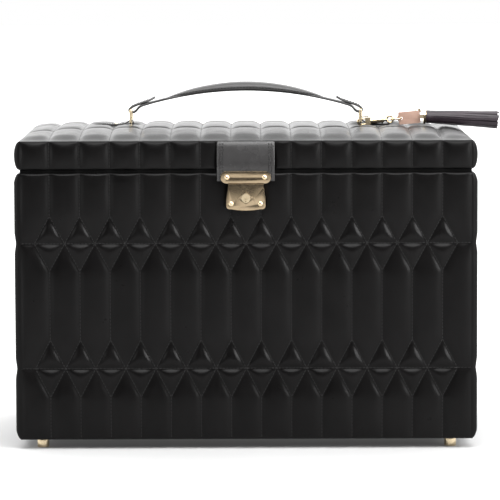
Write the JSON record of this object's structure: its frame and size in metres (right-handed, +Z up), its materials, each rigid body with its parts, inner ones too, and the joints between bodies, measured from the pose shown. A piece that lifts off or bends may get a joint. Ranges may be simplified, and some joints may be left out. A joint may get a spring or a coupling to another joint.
{
  "type": "leather jewellery case",
  "caption": "Large quilted leather jewellery case with a hinged padded lid, flap lock, padded handle on rings, feet and a clip-on tassel; mirror, dividers and a sliding tray inside.",
  "frame": {"origin": "on the floor, in the middle of the four feet", "axes": "+X to the right seen from the front, front face towards -Y, +Z up"},
  "size_m": [0.4442, 0.2637, 0.3305],
  "materials": {
    "quilted_leather": "soft black leather, semi-gloss",
    "smooth_leather": "smooth black leather, semi-gloss",
    "tassel_leather": "black leather cut into fringe",
    "tag_leather": "plain rose-tan leather",
    "pale_gold": "polished and brushed pale gold plating",
    "steel": "plain",
    "board": "raw fibreboard",
    "lining": "soft suede-like lining",
    "mirror": "silvered glass"
  },
  "bodies": {
    "case": {"feet": "pale_gold", "foot_screws": "steel", "underside_cover": "smooth_leather", "base_bottom_board": "board", "base_front_board": "board", "base_back_board": "board", "base_left_board": "board", "base_right_board": "board", "base_front_quilt": "quilted_leather", "base_back_quilt": "quilted_leather", "base_left_quilt": "quilted_leather", "base_right_quilt": "quilted_leather", "base_liner": "lining", "base_floor_pad": "lining", "rim_binding": "smooth_leather", "lower_dividers": "lining", "tray_rails": "lining", "hinge_base_leaves": "pale_gold", "hinge_pins": "steel", "hinge_screws": "pale_gold", "lock_plate": "pale_gold", "lock_rivets": "pale_gold", "lock_case": "steel"},
    "lid": {"lid_top_board": "board", "lid_front_board": "board", "lid_back_board": "board", "lid_left_board": "board", "lid_right_board": "board", "lid_top_quilt": "quilted_leather", "lid_front_quilts": "quilted_leather", "lid_back_quilt": "quilted_leather", "lid_left_quilt": "quilted_leather", "lid_right_quilt": "quilted_leather", "lid_lining": "lining", "mirror_frame": "smooth_leather", "mirror_glass": "mirror", "hinge_lid_leaves": "pale_gold", "strap_tab": "smooth_leather", "hasp_plate": "pale_gold", "hasp_rivets": "pale_gold", "anchor_tabs": "smooth_leather", "anchor_rivets": "pale_gold"},
    "lock_cylinder": {"lock_cylinder": "pale_gold"},
    "lock_bolt": {"lock_bolt": "steel"},
    "ring_left": {"ring_left": "pale_gold"},
    "handle": {"handle_strap": "smooth_leather", "handle_pad": "smooth_leather"},
    "ring_right": {"ring_right": "pale_gold"},
    "hook": {"snap_hook": "pale_gold"},
    "gate": {"hook_gate": "pale_gold"},
    "fob": {"swivel_eye": "pale_gold", "link_ring": "pale_gold", "fob_tag": "tag_leather", "key": "pale_gold"},
    "tassel": {"tassel_collar": "pale_gold", "tassel_skirt": "tassel_leather"},
    "tray": {"tray": "lining", "tray_dividers": "lining", "ring_rolls": "lining"}
  },
  "joints": [
    {"name": "lid_hinge", "type": "hinge", "parent": "case", "child": "lid", "pos_m": [0, 0.1275, 0.25465], "axis": [-1, 0, 0], "range_deg": [0, 100]},
    {"name": "lock_turn", "type": "hinge", "parent": "case", "child": "lock_cylinder", "pos_m": [0, -0.13, 0.2304], "axis": [0, -1, 0], "range_deg": [0, 90]},
    {"name": "bolt_throw", "type": "slide", "parent": "case", "child": "lock_bolt", "axis": [0, -1, 0], "range_m": [0, 0.0025]},
    {"name": "handle_swing", "type": "hinge", "parent": "lid", "child": "ring_left", "pos_m": [-0.108, 0, 0.2923], "axis": [0, 1, 0], "range_deg": [-25, 25]},
    {"name": "handle_pivot_left", "type": "hinge", "parent": "ring_left", "child": "handle", "pos_m": [-0.108, 0, 0.3038], "axis": [0, 1, 0], "range_deg": [-25, 25]},
    {"name": "ring_right_swing", "type": "hinge", "parent": "lid", "child": "ring_right", "pos_m": [0.108, 0, 0.2923], "axis": [0, 1, 0], "range_deg": [-25, 25]},
    {"name": "hook_lift", "type": "hinge", "parent": "lid", "child": "hook", "pos_m": [0.108, -0.0084, 0.2923], "axis": [0, -1, 0], "range_deg": [0, 20]},
    {"name": "gate_slide", "type": "slide", "parent": "hook", "child": "gate", "axis": [0.9962, 0, 0.0872], "range_m": [0, 0.003], "stiffness_N_per_m": 200, "springref_m": -0.003},
    {"name": "swivel_spin", "type": "hinge", "parent": "hook", "child": "fob", "pos_m": [0.12992, -0.0084, 0.29422], "axis": [0.9962, 0, 0.0872], "continuous": true},
    {"name": "tassel_swing", "type": "hinge", "parent": "fob", "child": "tassel", "pos_m": [0.16558, -0.0084, 0.29734], "axis": [0, -1, 0], "range_deg": [0, 25]},
    {"name": "tray_slide", "type": "slide", "parent": "case", "child": "tray", "axis": [1, 0, 0], "range_m": [0, 0.196]}
  ],
  "couplings": [
    {"joint": "bolt_throw", "follows": "lock_turn", "m_per_rad": 0.00159},
    {"joint": "handle_pivot_left", "follows": "handle_swing", "ratio": -1},
    {"joint": "ring_right_swing", "follows": "handle_swing", "ratio": 1}
  ]
}
